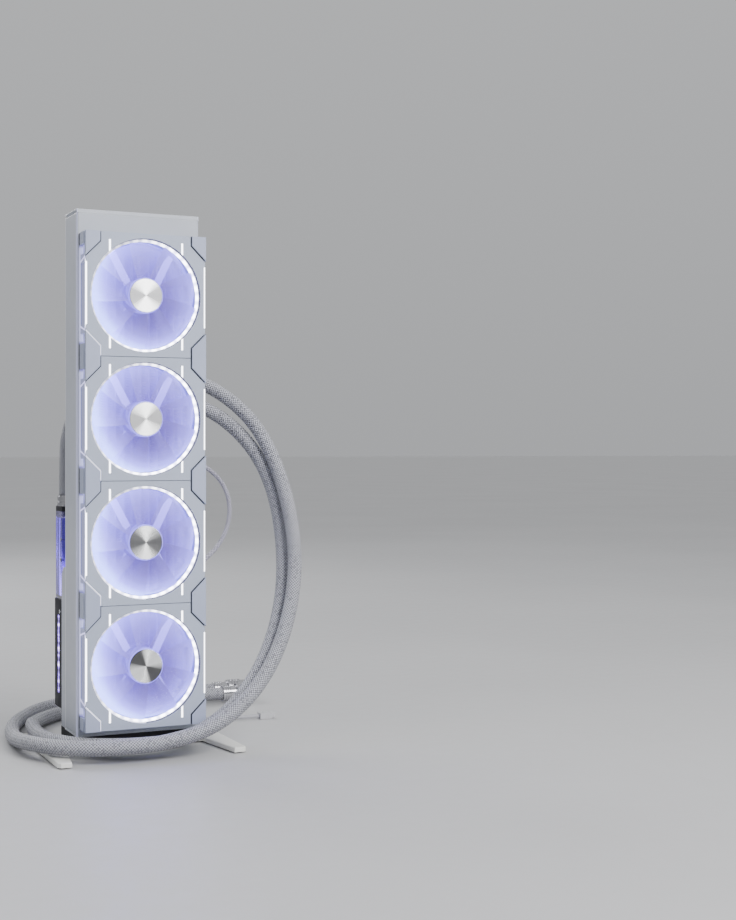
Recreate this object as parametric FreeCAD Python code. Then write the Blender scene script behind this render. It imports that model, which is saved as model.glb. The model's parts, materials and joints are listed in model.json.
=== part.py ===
import FreeCAD, Part
import math
import os

from FreeCAD import Vector

# External liquid cooling radiator: a standing tower with four fans, a pump with a reservoir
# on its back, and two hoses. Millimetres. X to the right, Y to the back, Z up.
# The origin is the middle of the footprint, on the surface that the feet stand on.

# ---- driving dimensions ----
FAN = 140.0              # side of one square fan
FAN_COUNT = 4
FAN_DEPTH = 30.0
FAN_GAP = 0.3            # half of the gap between two fans
HOLE_HALF = 62.25        # fan screw holes, half of their 124.5 mm spacing
CASE_HALF = 72.0         # half of the casing's width
CASE_FRONT = -30.0
CASE_DEPTH = 56.0
CASE_BOTTOM = 21.0
FAN_BOTTOM = 31.0
CASE_TOP = 619.0
SHEET = 1.5              # casing sheet
CAP_LIP = 4.7            # height of the top cap's front lip
SEAM = 1.8               # dark seam under the casing's sides
FLANGE = 14.0            # casing's inward flanges at the back
REAR_THREAD_R = 1.65     # M4 threads for fans on the back, at their core
HOSE = 17.0              # hose diameter over its braided sleeve
CABLE = 5.6
THIN_CABLE = 4.6
FOOT_HALF = 108.5        # from the middle to the outer edge of a foot
FOOT_REACH = 94.0        # from the middle to a foot's tips

# ---- worked out from them ----
CASE_BACK = CASE_FRONT + CASE_DEPTH
FAN_FRONT = CASE_FRONT - FAN_DEPTH
FAN_HALF = FAN / 2 - FAN_GAP
FAN_TOP = FAN_BOTTOM + FAN * FAN_COUNT
FAN_CENTRES = [FAN_TOP - FAN * (i + 0.5) for i in range(FAN_COUNT)]
REAR_FAN_CENTRES = FAN_CENTRES[:2]      # the reservoir covers the lower places
INNER_HALF = CASE_HALF - SHEET
INNER_FRONT = CASE_FRONT + SHEET
INNER_BACK = CASE_BACK - SHEET

# ---- fan ----
RECESS_R = 64.2          # edge of the round opening in the fan's face
RING_OUT_R = 63.7
RING_IN_R = 61.3
RING = (FAN_FRONT + 6.0, FAN_FRONT + 10.0)     # the lit ring lies this deep in the opening
BLADE_R = 60.5
BLADE_COUNT = 9
BLADE_SECTIONS = [(17, 26, 48, 0), (32, 37.5, 36, 2), (47, 49, 27, 5), (62, 60.5, 20, 9)]
HUB_R = 20.5
HUB_FRONT = FAN_FRONT + 2.0
HUB_BACK = FAN_FRONT + 25.0
CAP_R = 19.1
SHAFT_R = 1.5
SHAFT_BORE_R = 1.55
SLEEVE_R = 3.0
STRUT_THICK = 3.0
STRUT_WIDE = 8.0
STRUTS = [(64, -11.5), (118, 5.0), (242, -5.0), (296, 11.5)]     # direction, offset from the axis
BAR_X = 42.25            # light bars in the fan's face
BAR_WIDE = 2.1
BAR_OUTER = 61.0
SIDE_SKIN = 1.0          # thickness of the side light guides
COVER_IN = 52.3          # inner edge of a corner cover
COVER_STRAIGHT = 11.8    # half of its straight inner edge
COVER_DEEP = 2.6
COVER_PLAY = 1.2
COVER_PROUD = 2.0        # how far a cover stands out of the fans' faces
COVER_OUT = FAN_HALF + 0.8
EDGE_LIGHT = 1.3         # width of the lit front edges
SCREW_SEAT = FAN_FRONT + COVER_DEEP + 3.0

# ---- base ----
PAD_H = 1.5
FOOT_TOP = 7.0
BASE_HALF = 70.0
BASE_FRONT = -14.0
BASE_BACK = 52.0
TONGUE_IN = 30.0
FOOT_SCREWS = [(44.0, -2.0), (44.0, 36.0)]
CASE_SCREWS = [(58.0, -8.0), (58.0, 18.0)]

# ---- pump and reservoir ----
UNIT_X0 = -70.0
UNIT_X1 = -8.0
UNIT_Y0 = 50.0
UNIT_Y1 = 86.0
PUMP_BOTTOM = 41.0
PUMP_TOP = 169.0
RESERVOIR_TOP = 273.0
LID_TOP = 279.0
RESERVOIR_WALL = 5.0
COOLANT_TOP = 265.0
UNIT_Y = (UNIT_Y0 + UNIT_Y1) / 2
HOSE_PORTS = (-60.0, -29.0)
FITTING_R = 10.5
FITTING_H = 13.0
THREAD_R = 6.5
IMPELLER_Z = 72.0
IMPELLER_X = (UNIT_X0 + UNIT_X1) / 2
IMPELLER_R = 20.0
CHAMBER_R = 22.0
LINK_R = 6.0
LINK_Z = 50.0
LINK_STRAIGHT_X = -24.0
LINK_BENT_X = 34.0
CABLE_OUT_Z = 112.0      # where the control cable leaves the pump
LID_SCREW_IN = 4.2       # from the unit's sides to the lid's screws
SIDE_SCREWS = (155.0, 216.0, 240.0)
PASSAGE_R = 5.0          # ways for the coolant through the housings
BORE_R = 4.0             # inside the tubes, fittings and couplings

# ---- bracket between the casing and the unit ----
BRACKET_THICK = 2.0
BRACKET_TOP = 209.0
BRACKET_SCREW_X = -63.0
BRACKET_SCREWS = (78.0, 122.0, 196.0)

# ---- radiator core ----
TUBE_COUNT = 14
TUBE_PITCH = 10.0
TUBE_THICK = 2.0
CORE_HALF_Y = 20.0
TANK_HALF_Y = 23.0
BOTTOM_TANK = (26.0, 60.0)
TOP_TANK = (572.0, 612.0)
HEADER = 2.0
TANK_WALL = 2.0
BLEED_Z = 592.0

# ---- couplings, along their own axis from the hose's end ----
COUPLING_Z = 12.6
COUPLING_X = 196.0
RETURN_Y = 272.0
SUPPLY_Y = 236.0
NUT_LEN = 12.0
NUT_R = 10.5
BODY_R = 9.5
COLLAR_IN_R = 9.56
COLLAR_OUT_R = 12.4
COLLAR = (20.0, 38.0)
LIP = (38.0, 46.0)
LIP_R = 11.0
SOCKET_R = 6.5
SOCKET_DEEP = 18.0

# Hose and cable routes: corners of the path, joined by arcs as large as the runs allow.
RETURN_ROUTE = [
    (-60, 68, 292), (-60, 68, 329), (-59, 66, 366), (-45, 65, 401), (-18, 62, 428), (18, 59, 441.5),
    (62, 55, 441), (106, 50, 428), (143, 41, 404.5), (170, 28, 372), (188, 12, 326), (197.5, -7, 272),
    (198, -25, 208), (183, -41, 148), (155, -58, 95), (114, -78, 55), (64, -92, 29), (10, -96, 19.5),
    (-31, -96, 18.5), (-71, -86, 18), (-103, -60, 17.5), (-121.5, -23, 17), (-126, 20, 13),
    (-123, 64, 9), (-117, 108, 8.6), (-104, 152, 8.6), (-83, 195, 9), (-52, 236, 11),
    (-5, 263, 12), (52, 274, 11), (104, 274, 11), (152, 272, 12.6), (196, 272, 12.6),
]
SUPPLY_ROUTE = [
    (-29, 68, 292), (-29, 68, 331), (-15, 66, 366), (11, 63, 391), (47, 60, 405), (86, 57, 406),
    (120.5, 51, 392), (151, 43, 367), (174.5, 32, 333), (188.5, 19, 288), (192, 4, 236), (187, -11, 184),
    (173, -25, 136), (146, -42, 88), (108, -60, 50), (66, -72, 26), (30, -77, 16.5), (-5, -77.5, 15.7),
    (-41, -70, 15.7), (-73, -49, 15.7), (-94, -17, 15.9), (-102, 20, 16), (-100, 60, 16),
    (-94, 99, 16.5), (-84, 135, 10.5), (-67, 170, 8.6), (-39, 200, 8.6), (0, 222, 8.6),
    (46, 233, 8.6), (96, 236, 8.8), (146, 236, 12.6), (196, 236, 12.6),
]
LIGHT_ROUTE = [
    (65, 36, 339), (65, 61, 339), (86, 87, 339), (120, 96, 329), (147.5, 90, 304), (156, 88, 268),
    (145, 90, 230), (117, 95, 202), (85, 86, 184), (65, 61, 176), (65, 36, 176),
]
CONTROL_ROUTE = [
    (2, 68, 112), (22, 68, 112), (42, 75, 98), (53, 87, 72), (58, 101, 42), (69, 115, 15),
    (92, 123, 4), (120, 121, 2.5), (148, 110, 2.6), (174, 100, 4), (198, 100, 4),
]
GLAND_Z = (339.0, 176.0)
GLAND_X = 65.0


# ---- small helpers ----
def box(x0, x1, y0, y1, z0, z1):
    return Part.makeBox(x1 - x0, y1 - y0, z1 - z0, Vector(x0, y0, z0))


def rod(radius, start, end):
    start = Vector(*start)
    along = Vector(*end) - start
    return Part.makeCylinder(radius, along.Length, start, along)


def tube(inner, outer, start, end):
    return rod(outer, start, end).cut(rod(inner, start, end))


def prism(corners, along):
    """A polygon's corners as 3-D points, pushed along a vector."""
    loop = [Vector(*corner) for corner in corners]
    return Part.Face(Part.makePolygon(loop + loop[:1])).extrude(Vector(*along))


def fuse(shapes):
    return shapes[0].multiFuse(shapes[1:]).removeSplitter()


def cut(shape, tools):
    return shape.cut(Part.makeCompound(tools))


def group(shapes):
    """Separate pieces in one node."""
    solids = [solid for shape in shapes for solid in shape.Solids]
    return Part.makeCompound(solids)


def moved(shape, x=0.0, y=0.0, z=0.0):
    copy = shape.copy()
    copy.translate(Vector(x, y, z))
    return copy


def mirrored(shape):
    """The shape's twin on the other side of the plane X = 0."""
    return shape.mirror(Vector(0, 0, 0), Vector(1, 0, 0))


def both_sides(shape):
    return [shape, mirrored(shape)]


def save(name, shape):
    bad = [solid for solid in shape.Solids if not solid.isValid()]
    print(f"{name}: {len(shape.Solids)} solids, {len(bad)} bad, {shape.Volume / 1000:.2f} cm3")
    shape.exportStep(f"parts/{name}.step")


# ---- cords ----
def route_wire(points, name):
    """Straight runs joined by tangent arcs, each as large as its two runs allow."""
    corners = [Vector(*point) for point in points]
    edges = []
    radii = []
    here = corners[0]
    for before, corner, after in zip(corners, corners[1:], corners[2:]):
        back = (before - corner).normalize()
        ahead = (after - corner).normalize()
        half_turn = (math.pi - back.getAngle(ahead)) / 2
        shorter = min((before - corner).Length, (after - corner).Length)
        setback = 0.45 * shorter
        radius = setback / math.tan(half_turn)
        radii.append(radius)
        start = corner + back * setback
        end = corner + ahead * setback
        inward = (back + ahead).normalize()
        middle = corner + inward * (radius / math.cos(half_turn) - radius)
        edges.append(Part.LineSegment(here, start).toShape())
        edges.append(Part.Arc(start, middle, end).toShape())
        here = end
    edges.append(Part.LineSegment(here, corners[-1]).toShape())
    length = sum(edge.Length for edge in edges)
    rounded = ", ".join(f"{radius:.0f}" for radius in radii)
    print(f"{name}: {length:.0f} mm long, radii {rounded}, tightest {min(radii):.0f}")
    return Part.Wire(edges), length


def cord(points, diameter, name):
    wire, length = route_wire(points, name)
    start = Vector(*points[0])
    heading = Vector(*points[1]) - start
    section = Part.Wire(Part.makeCircle(diameter / 2, start, heading))
    solid = wire.makePipeShell([section], True, False)
    expected = math.pi * diameter ** 2 / 4 * length
    print(f"{name}: volume {solid.Volume / expected:.4f} of section times length")
    return solid


# ---- casing ----
def screw_corners(centres):
    """The places of fan screws, as x and z, round each fan centre."""
    return [(sx * HOLE_HALF, z + sz * HOLE_HALF) for z in centres for sx in (-1, 1) for sz in (-1, 1)]


def upright_edges(shape):
    return [edge for edge in shape.Edges if abs(edge.Vertexes[0].Z - edge.Vertexes[1].Z) > 1]


def casing():
    """A folded sheet open to the back, with inward flanges there."""
    z0 = CASE_BOTTOM + SHEET
    z1 = CASE_TOP - CAP_LIP
    outer = box(-CASE_HALF, CASE_HALF, CASE_FRONT, CASE_BACK, z0, z1)
    outer = outer.makeFillet(2.4, upright_edges(outer))
    shell = outer.cut(box(-INNER_HALF, INNER_HALF, INNER_FRONT, INNER_BACK, z0, z1))
    tools = [box(FLANGE - CASE_HALF, CASE_HALF - FLANGE, INNER_BACK, CASE_BACK, z0, z1),
             box(-CASE_HALF, CASE_HALF, CASE_FRONT + 3, CASE_BACK, z0, z0 + SEAM)]
    for z in FAN_CENTRES:
        tools.append(rod(RING_OUT_R, (0, CASE_FRONT, z), (0, INNER_FRONT, z)))
    for x, z in screw_corners(FAN_CENTRES):
        tools.append(rod(1.9, (x, CASE_FRONT, z), (x, INNER_FRONT, z)))
    rear_holes = [(x, z, REAR_THREAD_R) for x, z in screw_corners(REAR_FAN_CENTRES)]
    rear_holes += [(GLAND_X, z, CABLE / 2) for z in GLAND_Z]
    rear_holes += [(BRACKET_SCREW_X, z, 2.0) for z in BRACKET_SCREWS]
    for x, z, radius in rear_holes:
        tools.append(rod(radius, (x, INNER_BACK, z), (x, CASE_BACK, z)))
    return cut(shell, tools)


def inner_lip(z0, z1):
    """A frame that fits inside the casing's walls."""
    thick = 1.5
    outer = box(-INNER_HALF, INNER_HALF, INNER_FRONT, INNER_BACK, z0, z1)
    return outer.cut(box(-INNER_HALF + thick, INNER_HALF - thick,
                         INNER_FRONT + thick, INNER_BACK - thick, z0, z1))


def top_cap():
    """A plate with a bevelled front lip, and a frame that goes into the casing."""
    plate = box(-CASE_HALF, CASE_HALF, CASE_FRONT, CASE_BACK, CASE_TOP - SHEET, CASE_TOP)
    lip = box(-CASE_HALF, CASE_HALF, CASE_FRONT, INNER_FRONT, CASE_TOP - CAP_LIP, CASE_TOP - SHEET)
    bevel_deep = 1.2
    bevel_tall = 4.0
    wedge = prism([(-CASE_HALF, CASE_FRONT, CASE_TOP),
                   (-CASE_HALF, CASE_FRONT + bevel_deep, CASE_TOP),
                   (-CASE_HALF, CASE_FRONT, CASE_TOP - bevel_tall)], (2 * CASE_HALF, 0, 0))
    whole = fuse([plate, lip, inner_lip(TOP_TANK[1], CASE_TOP - SHEET)])
    return whole.cut(wedge)


def bottom_cap():
    plate = box(-CASE_HALF, CASE_HALF, CASE_FRONT, CASE_BACK, CASE_BOTTOM, CASE_BOTTOM + SHEET)
    whole = fuse([plate, inner_lip(CASE_BOTTOM + SHEET, BOTTOM_TANK[0])])
    holes = [rod(2.0, (s * x, y, CASE_BOTTOM), (s * x, y, CASE_BOTTOM + SHEET))
             for x, y in CASE_SCREWS for s in (-1, 1)]
    return cut(whole, holes)


# ---- radiator core ----
def tube_places():
    first = -TUBE_PITCH * (TUBE_COUNT - 1) / 2
    return [first + TUBE_PITCH * i for i in range(TUBE_COUNT)]


def core_tubes():
    z0 = BOTTOM_TANK[1] - 4
    z1 = TOP_TANK[0] + 4
    half = TUBE_THICK / 2
    wall = 0.4
    tubes = []
    for x in tube_places():
        outer = box(x - half, x + half, -CORE_HALF_Y, CORE_HALF_Y, z0, z1)
        bore = box(x - half + wall, x + half - wall, -CORE_HALF_Y + wall, CORE_HALF_Y - wall, z0, z1)
        tubes.append(outer.cut(bore))
    return group(tubes)


def fin_packs():
    z0 = BOTTOM_TANK[1] + HEADER
    z1 = TOP_TANK[0] - HEADER
    half = TUBE_THICK / 2
    places = tube_places()
    packs = [box(a + half, b - half, -CORE_HALF_Y + 1, CORE_HALF_Y - 1, z0, z1)
             for a, b in zip(places, places[1:])]
    return group(packs)


def header_plates():
    """The plates that the tubes go through, one at each tank."""
    half = TUBE_THICK / 2
    slots = [box(x - half, x + half, -CORE_HALF_Y, CORE_HALF_Y, 0, CASE_TOP) for x in tube_places()]
    plates = []
    for z in (BOTTOM_TANK[1], TOP_TANK[0] - HEADER):
        plate = box(-INNER_HALF, INNER_HALF, -TANK_HALF_Y, TANK_HALF_Y, z, z + HEADER)
        plates.append(cut(plate, slots))
    return group(plates)


def tank(z0, z1):
    return box(-INNER_HALF, INNER_HALF, -TANK_HALF_Y, TANK_HALF_Y, z0, z1)


def tank_hollow(z0, z1):
    half = INNER_HALF - TANK_WALL
    half_y = TANK_HALF_Y - TANK_WALL
    return box(-half, half, -half_y, half_y, z0, z1)


def end_tanks():
    """The bottom tank has a wall in its middle, so the liquid goes up one half and down the other."""
    low, high = BOTTOM_TANK
    hollow = tank_hollow(low + TANK_WALL, high)
    divider = box(-TANK_WALL / 2, TANK_WALL / 2, -TANK_HALF_Y, TANK_HALF_Y, low, high)
    bottom = tank(low, high).cut(hollow.cut(divider))
    inner_y = TANK_HALF_Y - TANK_WALL
    ports = [rod(LINK_R, (x, inner_y, LINK_Z), (x, TANK_HALF_Y, LINK_Z))
             for x in (LINK_STRAIGHT_X, LINK_BENT_X)]
    low, high = TOP_TANK
    top = tank(low, high).cut(tank_hollow(low, high - TANK_WALL))
    bleed = rod(THREAD_R, (0, inner_y, BLEED_Z), (0, TANK_HALF_Y, BLEED_Z))
    return group([cut(bottom, ports), top.cut(bleed)])


def bleed_plug():
    y = TANK_HALF_Y
    head = rod(9.0, (0, y, BLEED_Z), (0, y + 4, BLEED_Z))
    thread = rod(THREAD_R, (0, y - 4, BLEED_Z), (0, y, BLEED_Z))
    key_r = 3.5
    turns = [math.radians(60 * i) for i in range(6)]
    socket = prism([(key_r * math.cos(a), y + 1.2, BLEED_Z + key_r * math.sin(a)) for a in turns],
                   (0, 2.8, 0))
    return fuse([head, thread]).cut(socket)


# ---- fans, made round the point (0, FAN_FRONT, 0) and then lifted to their places ----
def front_cover_outline(play, outer):
    """One corner cover over the joint of two fans, on the +X side, about z = 0."""
    inner = COVER_IN + play
    straight = COVER_STRAIGHT - play / 2
    tall = straight + outer - inner
    return [(inner, -straight), (outer, -tall), (outer, tall), (inner, straight)]


def cover_pocket():
    """What a corner cover's place takes out of the two fans beside it, about z = 0."""
    outline = front_cover_outline(0.0, FAN_HALF)
    face = prism([(x, FAN_FRONT, z) for x, z in outline], (0, COVER_DEEP, 0))
    side = box(66.7, FAN_HALF, FAN_FRONT + COVER_DEEP, CASE_FRONT - 5, -25, 25)
    web = box(65.9, FAN_HALF, FAN_FRONT + COVER_DEEP, CASE_FRONT - 7, -14.5, 14.5)
    return fuse([face, side, web])


def corner_cover():
    """A face plate and a side block on one thin web."""
    front = FAN_FRONT - COVER_PROUD
    outline = front_cover_outline(COVER_PLAY, COVER_OUT)
    face = prism([(x, front, z) for x, z in outline], (0, COVER_DEEP + COVER_PROUD, 0))
    rim = [edge for edge in face.Edges if all(abs(v.Y - front) < 0.01 for v in edge.Vertexes)]
    face = face.makeChamfer(0.6, rim)
    web = box(65.9, 67.2, FAN_FRONT + COVER_DEEP, CASE_FRONT - 7, -13.5, 13.5)
    block = box(67.2, COVER_OUT, FAN_FRONT + 6, CASE_FRONT - 7, -14.2, 14.2)
    return fuse([face, web, block])


def side_outline(front, shoulder, back, half, half_shoulder, half_back):
    """Six corners as y from the fan's face and z, the same above and below the middle."""
    upper = [(front, half), (shoulder, half_shoulder), (back, half_back)]
    lower = [(y, -z) for y, z in reversed(upper)]
    x0 = FAN_HALF - SIDE_SKIN
    return [(x0, FAN_FRONT + y, z) for y, z in upper + lower]


def side_light():
    """The light guide in one side of a fan: a bright front edge and a thin outline."""
    ring = prism(side_outline(1, 4, 25, 35, 42, 37), (SIDE_SKIN, 0, 0))
    hole = prism(side_outline(3, 5, 23.4, 34, 40, 35.5), (SIDE_SKIN, 0, 0))
    edge = box(FAN_HALF - EDGE_LIGHT, FAN_HALF, FAN_FRONT, FAN_FRONT + 2.2, -35, 35)
    return ring.cut(hole).fuse(edge).removeSplitter()


def light_bar(sx, sz):
    half = BAR_WIDE / 2
    x = sx * BAR_X
    low, high = sorted((sz * 45.0, sz * BAR_OUTER))
    bar = box(x - half, x + half, FAN_FRONT, FAN_FRONT + 2, low, high)
    return bar.cut(rod(RECESS_R, (0, FAN_FRONT, 0), (0, FAN_FRONT + 2, 0)))


def light_bars():
    bars = [light_bar(sx, sz) for sx in (-1, 1) for sz in (-1, 1)]
    return bars + both_sides(side_light())


def light_ring():
    return tube(RING_IN_R, RING_OUT_R, (0, RING[0], 0), (0, RING[1], 0))


def strut(angle, offset):
    """One of the four arms behind the blades, which pass beside the axis."""
    low = offset - STRUT_WIDE / 2
    high = offset + STRUT_WIDE / 2
    bar = box(HUB_R / 2, RING_IN_R + 1.5, CASE_FRONT - STRUT_THICK, CASE_FRONT, low, high)
    bar.rotate(Vector(0, 0, 0), Vector(0, 1, 0), -angle)
    return bar


def fan_frame():
    body = box(-FAN_HALF, FAN_HALF, FAN_FRONT, CASE_FRONT, -FAN_HALF, FAN_HALF)
    recess = Part.makeCone(RECESS_R, RING_OUT_R, RING[0] - FAN_FRONT, Vector(0, FAN_FRONT, 0),
                           Vector(0, 1, 0))
    ring_seat = rod(RING_OUT_R, (0, RING[0], 0), (0, RING[1], 0))
    bore = rod(RING_IN_R, (0, RING[1], 0), (0, CASE_FRONT, 0))
    tools = [recess, ring_seat, bore] + light_bars()
    for shape in both_sides(cover_pocket()):
        tools += [moved(shape, z=FAN / 2), moved(shape, z=-FAN / 2)]
    panel = box(FAN_HALF - 0.8, FAN_HALF, FAN_FRONT + 5.5, FAN_FRONT + 22.6, -34, 34)
    tools += both_sides(panel)
    for x, z in screw_corners([0.0]):
        tools.append(rod(2.2, (x, FAN_FRONT, z), (x, CASE_FRONT, z)))
        tools.append(rod(3.6, (x, FAN_FRONT, z), (x, SCREW_SEAT, z)))
    body = cut(body, tools)
    back = CASE_FRONT - STRUT_THICK
    hub = rod(HUB_R, (0, back, 0), (0, CASE_FRONT, 0))
    post = rod(4.5, (0, FAN_FRONT + 8, 0), (0, back, 0))
    spider = fuse([hub, post] + [strut(angle, offset) for angle, offset in STRUTS])
    bore = rod(SLEEVE_R, (0, FAN_FRONT + 8, 0), (0, back, 0))
    return body.fuse(spider).removeSplitter().cut(bore)


def blade():
    """A swept, twisted blade that rises towards +Z. It is wide enough to hide what is behind it."""
    camber = 1.2
    stations = [(-0.5, 0.35), (-0.2, 0.9), (0.2, 0.8), (0.5, 0.3)]     # place on the chord, half thickness
    sections = []
    for radius, chord, pitch, sweep in BLADE_SECTIONS:
        tilt = math.radians(pitch)
        along = Vector(math.cos(tilt), math.sin(tilt), 0) * chord
        across = Vector(-math.sin(tilt), math.cos(tilt), 0)
        middle = Vector(sweep, HUB_FRONT + 11, radius)
        upper = []
        lower = []
        for place, thick in stations:
            arch = camber * (1 - 4 * place ** 2)
            upper.append(middle + along * place + across * (arch + thick))
            lower.append(middle + along * place + across * (arch - thick))
        outline = upper + lower[::-1]
        sections.append(Part.makePolygon(outline + outline[:1]))
    return Part.makeLoft(sections, True, False)


def fan_rotor():
    cup = rod(HUB_R, (0, HUB_FRONT, 0), (0, HUB_BACK, 0))
    cup = cup.cut(rod(HUB_R - 1.8, (0, HUB_FRONT + 2.5, 0), (0, HUB_BACK, 0)))
    blank = blade()
    blades = []
    for i in range(BLADE_COUNT):
        turned = blank.copy()
        turned.rotate(Vector(0, 0, 0), Vector(0, 1, 0), 360.0 * i / BLADE_COUNT)
        blades.append(turned)
    disc = tube(HUB_R - 0.6, BLADE_R, (0, FAN_FRONT, 0), (0, CASE_FRONT, 0))
    blades = [shape.common(disc) for shape in blades]
    rotor = cup
    for shape in blades:
        rotor = rotor.fuse(shape)
    shaft = rod(SHAFT_R, (0, HUB_FRONT + 2.5, 0), (0, CASE_FRONT - STRUT_THICK - 1, 0))
    return rotor.fuse(shaft)


def hub_cap():
    disc = rod(CAP_R, (0, HUB_FRONT - 1.0, 0), (0, HUB_FRONT, 0))
    rim = [edge for edge in disc.Edges if abs(edge.BoundBox.YMax - HUB_FRONT + 1.0) < 0.01]
    return disc.makeChamfer(0.4, rim)


def bearing():
    return tube(SHAFT_BORE_R, SLEEVE_R, (0, FAN_FRONT + 8, 0), (0, CASE_FRONT - STRUT_THICK, 0))


def stator():
    ring = tube(4.5, 9.0, (0, FAN_FRONT + 10, 0), (0, FAN_FRONT + 21, 0))
    poles = []
    for i in range(4):
        arm = box(8.5, 14, FAN_FRONT + 12, FAN_FRONT + 19, -2.5, 2.5)
        shoe = box(13.5, 16, FAN_FRONT + 11, FAN_FRONT + 20, -6.5, 6.5)
        pole = arm.fuse(shoe)
        pole.rotate(Vector(0, 0, 0), Vector(0, 1, 0), 45 + 90 * i)
        poles.append(pole)
    return fuse([ring] + poles)


def fan_screw():
    top = SCREW_SEAT - 2.4
    head = rod(3.3, (0, top, 0), (0, SCREW_SEAT, 0))
    cross = [box(-0.5, 0.5, top, top + 1.2, -2, 2), box(-2, 2, top, top + 1.2, -0.5, 0.5)]
    return cut(head, cross).fuse(rod(1.9, (0, SCREW_SEAT, 0), (0, INNER_FRONT + 3, 0)))


def corner_covers():
    joints = [FAN_TOP - FAN * i for i in range(FAN_COUNT + 1)]
    stack = box(-CASE_HALF, CASE_HALF, FAN_FRONT - COVER_PROUD, CASE_FRONT,
                FAN_BOTTOM + FAN_GAP, FAN_TOP - FAN_GAP)
    covers = []
    for z in joints:
        for shape in both_sides(corner_cover()):
            covers.append(moved(shape, z=z).common(stack))
    return group(covers)


# ---- base ----
def foot():
    """A flat bar from front to back with a tongue that goes under the base, on the +X side."""
    tip = 15.0
    corners = [(FOOT_HALF, -FOOT_REACH + 4), (FOOT_HALF, FOOT_REACH - 4), (FOOT_HALF - 3, FOOT_REACH),
               (FOOT_HALF - tip, FOOT_REACH), (82, 44), (TONGUE_IN, 44), (TONGUE_IN, BASE_FRONT),
               (82, BASE_FRONT), (FOOT_HALF - tip, -FOOT_REACH), (FOOT_HALF - 3, -FOOT_REACH)]
    plate = prism([(x, y, PAD_H) for x, y in corners], (0, 0, FOOT_TOP - PAD_H))
    rim = [edge for edge in plate.Edges if all(abs(v.Z - FOOT_TOP) < 0.01 for v in edge.Vertexes)]
    plate = plate.makeChamfer(1.0, rim)
    tools = []
    for x, y in FOOT_SCREWS:
        tools.append(rod(2.0, (x, y, PAD_H), (x, y, FOOT_TOP)))
        tools.append(rod(3.8, (x, y, PAD_H), (x, y, PAD_H + 2.4)))
    return cut(plate, tools)


def foot_pads():
    places = [(101.0, -84.0), (101.0, 84.0), (70.0, 15.0)]
    pads = [rod(6.0, (s * x, y, 0), (s * x, y, PAD_H)) for x, y in places for s in (-1, 1)]
    return group(pads)


def base_plate():
    """A folded tray, open below, with a boss over each foot screw."""
    wall = 2.0
    outer = box(-BASE_HALF, BASE_HALF, BASE_FRONT, BASE_BACK, FOOT_TOP, CASE_BOTTOM)
    inner = box(-BASE_HALF + wall, BASE_HALF - wall, BASE_FRONT + wall, BASE_BACK - wall,
                FOOT_TOP, CASE_BOTTOM - wall)
    tray = outer.cut(inner)
    bosses = [rod(6.0, (s * x, y, FOOT_TOP), (s * x, y, CASE_BOTTOM - wall))
              for x, y in FOOT_SCREWS for s in (-1, 1)]
    tray = fuse([tray] + bosses)
    holes = [rod(2.0, (s * x, y, FOOT_TOP), (s * x, y, CASE_BOTTOM - wall))
             for x, y in FOOT_SCREWS for s in (-1, 1)]
    holes += [rod(2.0, (s * x, y, CASE_BOTTOM - wall), (s * x, y, CASE_BOTTOM))
              for x, y in CASE_SCREWS for s in (-1, 1)]
    return cut(tray, holes)


def machine_screw(x, y, z, heading, head_r=3.5, head_h=2.2, shank_r=2.0, length=12.0):
    """Head on the near side of the point, shank going on along the heading."""
    seat = Vector(x, y, z)
    along = Vector(*heading)
    head = Part.makeCylinder(head_r, head_h, seat - along * head_h, along)
    socket = Part.makeCylinder(shank_r * 0.7, head_h * 0.6, seat - along * head_h, along)
    shank = Part.makeCylinder(shank_r, length, seat, along)
    return head.cut(socket).fuse(shank)


def frame_screws():
    screws = []
    for sx in (-1, 1):
        for x, y in FOOT_SCREWS:
            screws.append(machine_screw(sx * x, y, PAD_H + 2.4, (0, 0, 1)))
        for x, y in CASE_SCREWS:
            screws.append(machine_screw(sx * x, y, CASE_BOTTOM - 2, (0, 0, 1), length=4.4))
    for z in BRACKET_SCREWS:
        screws.append(machine_screw(BRACKET_SCREW_X, CASE_BACK + 2, z, (0, -1, 0), length=5.0))
    return group(screws)


# ---- pump, reservoir and their bracket ----
def passage(x, y, z0, z1):
    return rod(PASSAGE_R, (x, y, z0), (x, y, z1))


def rear_bracket():
    """A side plate with a rounded top, a flange on the casing and one behind the pump."""
    thick = BRACKET_THICK
    side = box(UNIT_X0, UNIT_X0 + thick, CASE_BACK, UNIT_Y0, CASE_BOTTOM, BRACKET_TOP)
    corner = [edge for edge in side.Edges
              if all(abs(v.Y - UNIT_Y0) < 0.01 and abs(v.Z - BRACKET_TOP) < 0.01 for v in edge.Vertexes)]
    side = side.makeFillet((UNIT_Y0 - CASE_BACK) * 0.6, corner)
    near = box(UNIT_X0, FLANGE - CASE_HALF, CASE_BACK, CASE_BACK + thick, 60, BRACKET_TOP)
    far = box(UNIT_X0, UNIT_X1, UNIT_Y0 - thick, UNIT_Y0, CASE_BOTTOM, 190)
    holes = [rod(2.0, (BRACKET_SCREW_X, CASE_BACK, z), (BRACKET_SCREW_X, CASE_BACK + thick, z))
             for z in BRACKET_SCREWS]
    holes.append(rod(LINK_R + 0.5, (LINK_STRAIGHT_X, UNIT_Y0 - thick, LINK_Z),
                     (LINK_STRAIGHT_X, UNIT_Y0, LINK_Z)))
    return cut(fuse([side, near, far]), holes)


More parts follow.
